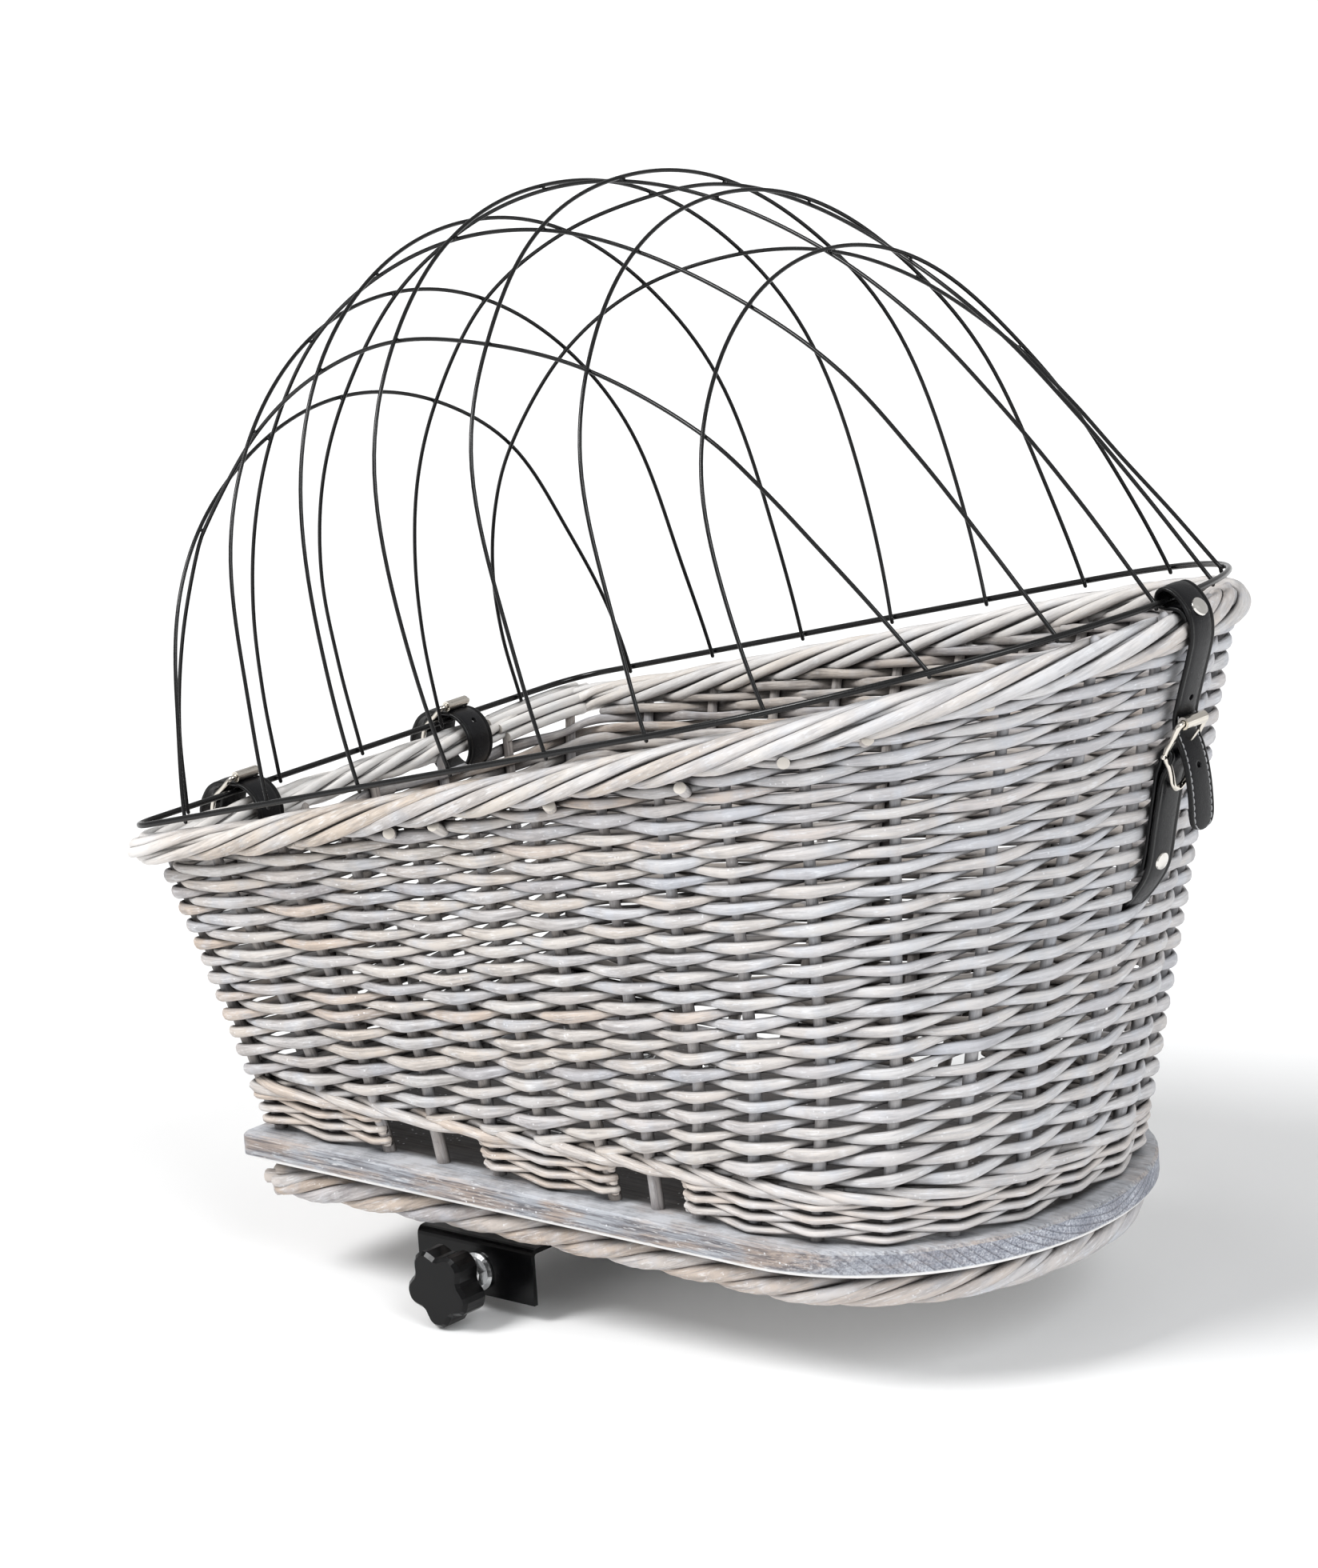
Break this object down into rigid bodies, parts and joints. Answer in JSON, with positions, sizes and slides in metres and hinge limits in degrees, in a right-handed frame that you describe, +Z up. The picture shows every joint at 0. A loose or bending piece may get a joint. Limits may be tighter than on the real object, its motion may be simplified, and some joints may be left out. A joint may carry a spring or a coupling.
{
  "type": "bicycle basket for a small dog",
  "caption": "Woven willow bicycle basket on a wooden board, with a hinged wire dome lid, front and rear buckled leather straps and a screw clamp bracket underneath for a rear carrier.",
  "frame": {"origin": "centre of the bracket plate's underside, where the basket sits on the bicycle's carrier", "axes": "+X towards the rear of the bicycle, +Y its left side, +Z up"},
  "size_m": [0.5508, 0.3538, 0.5473],
  "materials": {
    "willow": "peeled willow with a thin white-grey wash, dry and slightly rough",
    "willow_rim": "peeled willow rods with a white-grey wash and soft beige patches",
    "willow_foot": "peeled willow rods with a white-grey wash",
    "board": "thin wooden board, grey washed, fine grain",
    "ring_wire": "glossy black coated wire",
    "hoop_wire": "glossy black coated wire",
    "black_steel": "black powder coat, satin",
    "leather": "black leather, satin, padded with stitched edges",
    "nickel": "warm nickel plate, slightly worn",
    "zinc": "zinc plated steel",
    "knob": "black moulded plastic, matt",
    "rubber": "black rubber, matt"
  },
  "bodies": {
    "basket": {"base_board": "board", "spacer_block": "board", "carrier_bracket": "black_steel", "bracket_liner": "rubber", "clamp_flange_nut": "zinc", "wicker_wall": "willow", "rim_border": "willow_rim", "foot_border": "willow_foot", "bracket_bolt_1": "zinc", "bracket_nut_1": "zinc", "bracket_bolt_2": "zinc", "bracket_nut_2": "zinc", "bracket_bolt_3": "zinc", "bracket_nut_3": "zinc", "bracket_bolt_4": "zinc", "bracket_nut_4": "zinc", "front_strap_right": "leather", "front_buckle_right_frame": "nickel", "front_buckle_right_prong": "nickel", "front_strap_left": "leather", "front_buckle_left_frame": "nickel", "front_buckle_left_prong": "nickel", "rear_strap_lower": "leather", "rear_rivet_lower": "nickel", "rear_buckle_frame": "nickel", "rear_buckle_prong": "nickel"},
    "lid": {"dome_ring": "ring_wire", "cross_hoop_1": "hoop_wire", "cross_hoop_2": "hoop_wire", "cross_hoop_3": "hoop_wire", "cross_hoop_4": "hoop_wire", "cross_hoop_5": "hoop_wire", "cross_hoop_6": "hoop_wire", "cross_hoop_7": "hoop_wire", "long_hoop_1": "hoop_wire", "long_hoop_2": "hoop_wire", "long_hoop_3": "hoop_wire", "long_hoop_4": "hoop_wire", "long_hoop_5": "hoop_wire", "rear_strap_upper": "leather", "rear_rivet_upper": "nickel"},
    "pad": {"pressure_pad": "rubber"},
    "screw": {"clamp_screw": "zinc", "clamp_knob": "knob"},
    "roller_right": {"front_buckle_right_roller": "nickel"},
    "roller_left": {"front_buckle_left_roller": "nickel"},
    "roller_rear": {"rear_buckle_roller": "nickel"}
  },
  "joints": [
    {"name": "lid_hinge", "type": "hinge", "parent": "basket", "child": "lid", "pos_m": [-0.1525, 0, 0.2068], "axis": [0, -1, 0], "range_deg": [0, 110]},
    {"name": "knob_turn", "type": "hinge", "parent": "pad", "child": "screw", "pos_m": [0.002, -0.12, -0.014], "axis": [0, 1, 0], "range_deg": [-960, 1060]},
    {"name": "pad_slide", "type": "slide", "parent": "basket", "child": "pad", "axis": [0, 1, 0], "range_m": [-0.0035, 0.0038]},
    {"name": "roller_right_spin", "type": "hinge", "parent": "basket", "child": "roller_right", "pos_m": [-0.1514, -0.082, 0.2144], "axis": [0, 1, 0], "continuous": true},
    {"name": "roller_left_spin", "type": "hinge", "parent": "basket", "child": "roller_left", "pos_m": [-0.1514, 0.074, 0.2144], "axis": [0, 1, 0], "continuous": true},
    {"name": "roller_rear_spin", "type": "hinge", "parent": "basket", "child": "roller_rear", "pos_m": [0.3624, 0.012, 0.2792], "axis": [0, 1, 0], "continuous": true}
  ],
  "couplings": [
    {"joint": "pad_slide", "follows": "knob_turn", "m_per_rad": 0.0001989}
  ]
}
